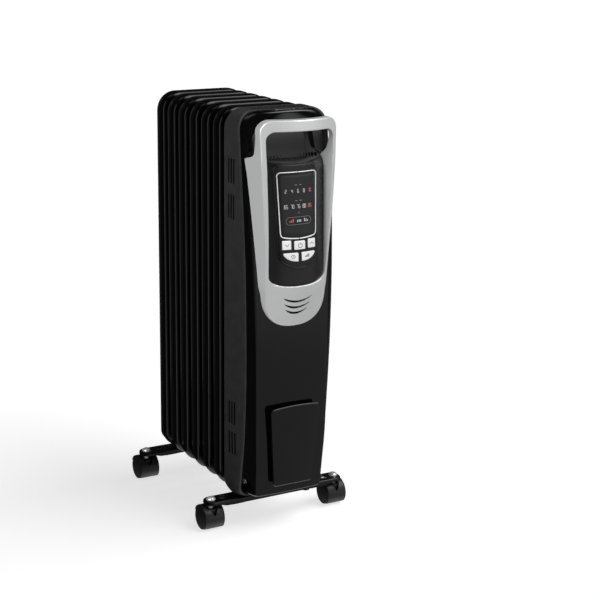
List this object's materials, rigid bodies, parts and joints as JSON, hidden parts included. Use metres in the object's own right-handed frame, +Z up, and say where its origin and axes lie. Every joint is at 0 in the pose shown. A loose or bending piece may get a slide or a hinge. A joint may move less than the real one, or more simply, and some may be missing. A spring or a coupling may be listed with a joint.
{
  "type": "oil filled radiator heater",
  "caption": "Upright oil filled radiator heater with pressed steel fins, a digital control housing with a silver handle bezel, and caster legs.",
  "frame": {"origin": "on the floor, midway between the left and right sides and midway between the handle bezel's front and the rear wheels", "axes": "+X to the right of someone facing the control panel, -Y out of the control panel, +Z up"},
  "size_m": [0.255, 0.3485, 0.64],
  "materials": {
    "black_enamel": "gloss black stoved enamel",
    "black_painted_steel": "black powder coat",
    "zinc_steel": "bright zinc plate",
    "brass_fitting": "machined",
    "satin_black_plastic": "satin black",
    "gloss_black_plastic": "polished black",
    "silver_painted_plastic": "satin silver paint",
    "pod_black_plastic": "semi-gloss black",
    "smoked_display": "smoked window",
    "bright_trim": "bright plated trim",
    "button_silver": "silver white paint",
    "black_nylon": "moulded black nylon",
    "black_tread": "moulded black nylon, matt tread",
    "circuit_board": "green solder mask",
    "shield_steel": "mill finish sheet",
    "white_plastic": "moulded white plastic"
  },
  "bodies": {
    "heater": {"fin_1": "black_enamel", "fin_2": "black_enamel", "fin_3": "black_enamel", "fin_4": "black_enamel", "fin_5": "black_enamel", "fin_6": "black_enamel", "fin_7": "black_enamel", "leg_bracket_front": "black_painted_steel", "u_bolt_front": "zinc_steel", "wing_nut_front_left": "zinc_steel", "cap_nut_front_left": "zinc_steel", "caster_front_left_stem": "zinc_steel", "wing_nut_front_right": "zinc_steel", "cap_nut_front_right": "zinc_steel", "caster_front_right_stem": "zinc_steel", "leg_bracket_rear": "black_painted_steel", "u_bolt_rear": "zinc_steel", "wing_nut_rear_left": "zinc_steel", "cap_nut_rear_left": "zinc_steel", "caster_rear_left_stem": "zinc_steel", "wing_nut_rear_right": "zinc_steel", "cap_nut_rear_right": "zinc_steel", "caster_rear_right_stem": "zinc_steel", "housing_shell": "satin_black_plastic", "front_cover": "gloss_black_plastic", "handle_bezel": "silver_painted_plastic", "control_pod": "pod_black_plastic", "display_ring": "bright_trim", "display_window": "smoked_display", "cord_wrap_plate": "gloss_black_plastic", "heating_element": "brass_fitting", "oil_filler_plug": "brass_fitting", "heat_shield": "shield_steel", "power_board": "circuit_board", "control_board": "circuit_board", "limit_thermostat": "white_plastic", "tip_switch_case": "white_plastic", "cord_gland": "black_nylon"},
    "caster_front_left": {"caster_front_left_hood": "black_nylon", "caster_front_left_axle": "zinc_steel"},
    "caster_front_left_wheel_left": {"caster_front_left_wheel_left": "black_tread"},
    "caster_front_left_wheel_right": {"caster_front_left_wheel_right": "black_tread"},
    "caster_front_right": {"caster_front_right_hood": "black_nylon", "caster_front_right_axle": "zinc_steel"},
    "caster_front_right_wheel_left": {"caster_front_right_wheel_left": "black_tread"},
    "caster_front_right_wheel_right": {"caster_front_right_wheel_right": "black_tread"},
    "caster_rear_left": {"caster_rear_left_hood": "black_nylon", "caster_rear_left_axle": "zinc_steel"},
    "caster_rear_left_wheel_left": {"caster_rear_left_wheel_left": "black_tread"},
    "caster_rear_left_wheel_right": {"caster_rear_left_wheel_right": "black_tread"},
    "caster_rear_right": {"caster_rear_right_hood": "black_nylon", "caster_rear_right_axle": "zinc_steel"},
    "caster_rear_right_wheel_left": {"caster_rear_right_wheel_left": "black_tread"},
    "caster_rear_right_wheel_right": {"caster_rear_right_wheel_right": "black_tread"},
    "button_down": {"button_down": "button_silver"},
    "button_power": {"button_power": "button_silver"},
    "button_up": {"button_up": "button_silver"},
    "button_timer": {"button_timer": "button_silver"},
    "button_mode": {"button_mode": "button_silver"},
    "tip_switch_pendulum": {"tip_switch_pendulum": "brass_fitting"}
  },
  "joints": [
    {"name": "caster_front_left_swivel", "type": "hinge", "parent": "heater", "child": "caster_front_left", "pos_m": [-0.108, -0.0883, 0.035], "axis": [0, 0, 1], "continuous": true},
    {"name": "caster_front_left_wheel_left_spin", "type": "hinge", "parent": "caster_front_left", "child": "caster_front_left_wheel_left", "pos_m": [-0.108, -0.0836, 0.01864], "axis": [1, 0, 0], "continuous": true},
    {"name": "caster_front_left_wheel_right_spin", "type": "hinge", "parent": "caster_front_left", "child": "caster_front_left_wheel_right", "pos_m": [-0.108, -0.0836, 0.01864], "axis": [1, 0, 0], "continuous": true},
    {"name": "caster_front_right_swivel", "type": "hinge", "parent": "heater", "child": "caster_front_right", "pos_m": [0.108, -0.0883, 0.035], "axis": [0, 0, 1], "continuous": true},
    {"name": "caster_front_right_wheel_left_spin", "type": "hinge", "parent": "caster_front_right", "child": "caster_front_right_wheel_left", "pos_m": [0.108, -0.0836, 0.01864], "axis": [1, 0, 0], "continuous": true},
    {"name": "caster_front_right_wheel_right_spin", "type": "hinge", "parent": "caster_front_right", "child": "caster_front_right_wheel_right", "pos_m": [0.108, -0.0836, 0.01864], "axis": [1, 0, 0], "continuous": true},
    {"name": "caster_rear_left_swivel", "type": "hinge", "parent": "heater", "child": "caster_rear_left", "pos_m": [-0.108, 0.1509, 0.035], "axis": [0, 0, 1], "continuous": true},
    {"name": "caster_rear_left_wheel_left_spin", "type": "hinge", "parent": "caster_rear_left", "child": "caster_rear_left_wheel_left", "pos_m": [-0.108, 0.1556, 0.01864], "axis": [1, 0, 0], "continuous": true},
    {"name": "caster_rear_left_wheel_right_spin", "type": "hinge", "parent": "caster_rear_left", "child": "caster_rear_left_wheel_right", "pos_m": [-0.108, 0.1556, 0.01864], "axis": [1, 0, 0], "continuous": true},
    {"name": "caster_rear_right_swivel", "type": "hinge", "parent": "heater", "child": "caster_rear_right", "pos_m": [0.108, 0.1509, 0.035], "axis": [0, 0, 1], "continuous": true},
    {"name": "caster_rear_right_wheel_left_spin", "type": "hinge", "parent": "caster_rear_right", "child": "caster_rear_right_wheel_left", "pos_m": [0.108, 0.1556, 0.01864], "axis": [1, 0, 0], "continuous": true},
    {"name": "caster_rear_right_wheel_right_spin", "type": "hinge", "parent": "caster_rear_right", "child": "caster_rear_right_wheel_right", "pos_m": [0.108, 0.1556, 0.01864], "axis": [1, 0, 0], "continuous": true},
    {"name": "button_down_press", "type": "slide", "parent": "heater", "child": "button_down", "axis": [0, 1, 0], "range_m": [0, 0.0008], "stiffness_N_per_m": 400, "springref_m": -0.001},
    {"name": "button_power_press", "type": "slide", "parent": "heater", "child": "button_power", "axis": [0, 1, 0], "range_m": [0, 0.0008], "stiffness_N_per_m": 400, "springref_m": -0.001},
    {"name": "button_up_press", "type": "slide", "parent": "heater", "child": "button_up", "axis": [0, 1, 0], "range_m": [0, 0.0008], "stiffness_N_per_m": 400, "springref_m": -0.001},
    {"name": "button_timer_press", "type": "slide", "parent": "heater", "child": "button_timer", "axis": [0, 1, 0], "range_m": [0, 0.0008], "stiffness_N_per_m": 400, "springref_m": -0.001},
    {"name": "button_mode_press", "type": "slide", "parent": "heater", "child": "button_mode", "axis": [0, 1, 0], "range_m": [0, 0.0008], "stiffness_N_per_m": 400, "springref_m": -0.001},
    {"name": "tip_switch_swing", "type": "hinge", "parent": "heater", "child": "tip_switch_pendulum", "pos_m": [-0.04, -0.118, 0.108], "axis": [0, 1, 0], "range_deg": [-12, 12]}
  ]
}
